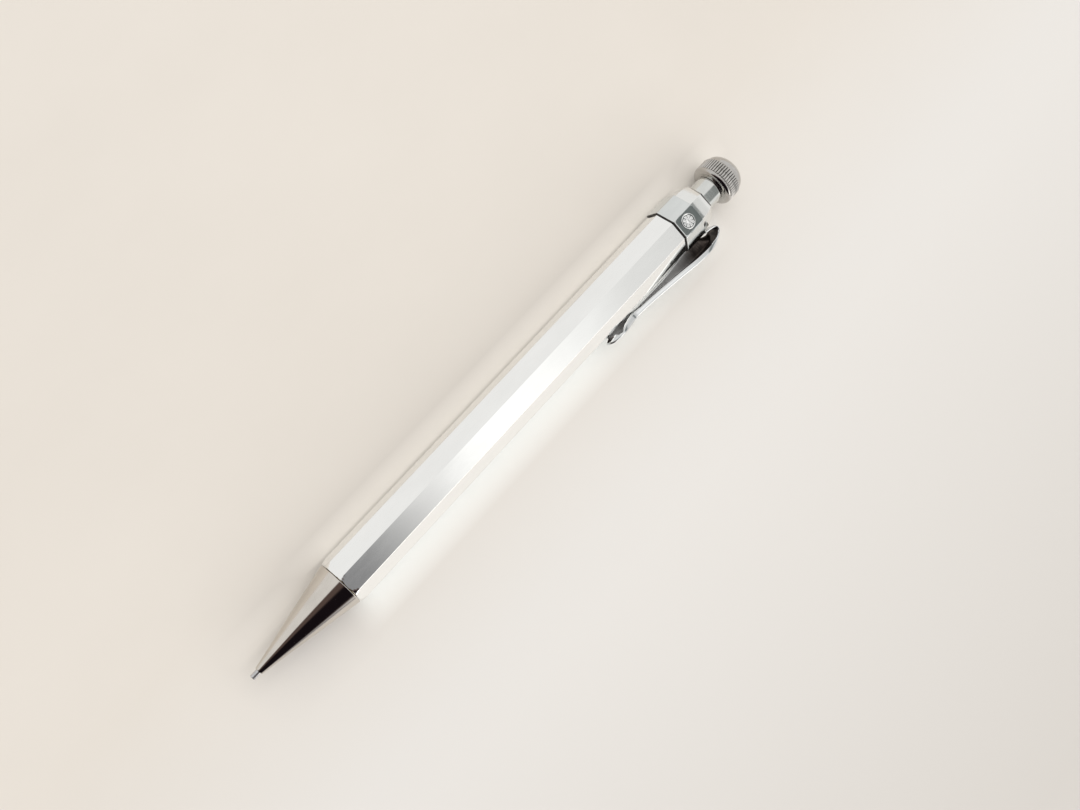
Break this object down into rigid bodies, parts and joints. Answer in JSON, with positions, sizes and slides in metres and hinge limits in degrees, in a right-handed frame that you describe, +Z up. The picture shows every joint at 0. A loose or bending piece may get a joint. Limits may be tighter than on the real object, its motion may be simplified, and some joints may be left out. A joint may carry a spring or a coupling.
{
  "type": "lead holder",
  "caption": "Push-button lead holder: octagonal metal barrel, turned cone with fixed sleeve, jaw chuck, banded pocket clip, knurled cap.",
  "frame": {"origin": "centre of the bounding box's underside: the part lies on a barrel facet, and Z = 0 is the clip band's lowest flat", "axes": "+X along the barrel from the tip to the push cap, +Z up out of the top facet, and the clip lies on the -Y side"},
  "size_m": [0.1236, 0.0126, 0.0092],
  "materials": {
    "barrel_metal": "polished, bright",
    "bright_chrome": "mirror polished",
    "steel": "fine drawn",
    "brass": "turned",
    "acetal": "natural acetal",
    "nitrile": "matt",
    "eraser_rubber": "soft, powdery",
    "graphite": "drawn graphite, slight sheen"
  },
  "bodies": {
    "barrel_unit": {"barrel": "barrel_metal", "front_connector": "brass", "return_spring": "steel", "end_bush": "barrel_metal", "clip_band": "bright_chrome"},
    "nose_unit": {"nose_cone": "bright_chrome", "lead_sleeve": "steel", "lead_retainer": "nitrile"},
    "lead": {"working_lead": "graphite"},
    "push_unit": {"push_neck": "bright_chrome", "stop_collar": "brass", "lead_tube": "acetal", "chuck_body": "brass", "eraser": "eraser_rubber", "spare_lead_1": "graphite", "spare_lead_2": "graphite", "spare_lead_3": "graphite"},
    "cap": {"knurled_cap": "bright_chrome", "cap_grip_ring": "steel"},
    "clutch": {"clutch_ring": "brass"},
    "jaw_1": {"chuck_jaw_1": "brass"},
    "jaw_2": {"chuck_jaw_2": "brass"},
    "jaw_3": {"chuck_jaw_3": "brass"},
    "clip": {"clip_tongue": "bright_chrome"}
  },
  "joints": [
    {"name": "cap_press", "type": "slide", "parent": "barrel_unit", "child": "push_unit", "axis": [-1, 0, 0], "range_m": [0, 0.003], "stiffness_N_per_m": 400, "springref_m": -0.004, "deforming": ["return_spring"]},
    {"name": "cap_pull", "type": "slide", "parent": "push_unit", "child": "cap", "axis": [1, 0, 0], "range_m": [0, 0.007]},
    {"name": "clutch_slide", "type": "slide", "parent": "barrel_unit", "child": "clutch", "axis": [-1, 0, 0], "range_m": [0, 0.0015]},
    {"name": "jaw_1_open", "type": "hinge", "parent": "push_unit", "child": "jaw_1", "pos_m": [-0.04083, 0.00166, 0.00402], "axis": [0, -1, 0], "range_deg": [0, 2]},
    {"name": "jaw_2_open", "type": "hinge", "parent": "push_unit", "child": "jaw_2", "pos_m": [-0.04083, 0.00218, 0.00492], "axis": [0, 0.5, -0.866], "range_deg": [0, 2]},
    {"name": "jaw_3_open", "type": "hinge", "parent": "push_unit", "child": "jaw_3", "pos_m": [-0.04083, 0.00114, 0.00492], "axis": [0, 0.5, 0.866], "range_deg": [0, 2]},
    {"name": "nose_unscrew", "type": "slide", "parent": "barrel_unit", "child": "nose_unit", "axis": [-1, 0, 0], "range_m": [0, 0.006]},
    {"name": "lead_feed", "type": "slide", "parent": "nose_unit", "child": "lead", "axis": [-1, 0, 0], "range_m": [0, 0.003]},
    {"name": "clip_flex", "type": "hinge", "parent": "barrel_unit", "child": "clip", "pos_m": [0.04997, -0.00354, 0.00462], "axis": [0, 0, 1], "range_deg": [0, 5], "stiffness_Nm_per_rad": 0.6}
  ],
  "couplings": [
    {"joint": "clutch_slide", "follows": "cap_press", "ratio": 0.5},
    {"joint": "jaw_1_open", "follows": "cap_press", "rad_per_m": 11.6},
    {"joint": "jaw_2_open", "follows": "cap_press", "rad_per_m": 11.6},
    {"joint": "jaw_3_open", "follows": "cap_press", "rad_per_m": 11.6}
  ]
}
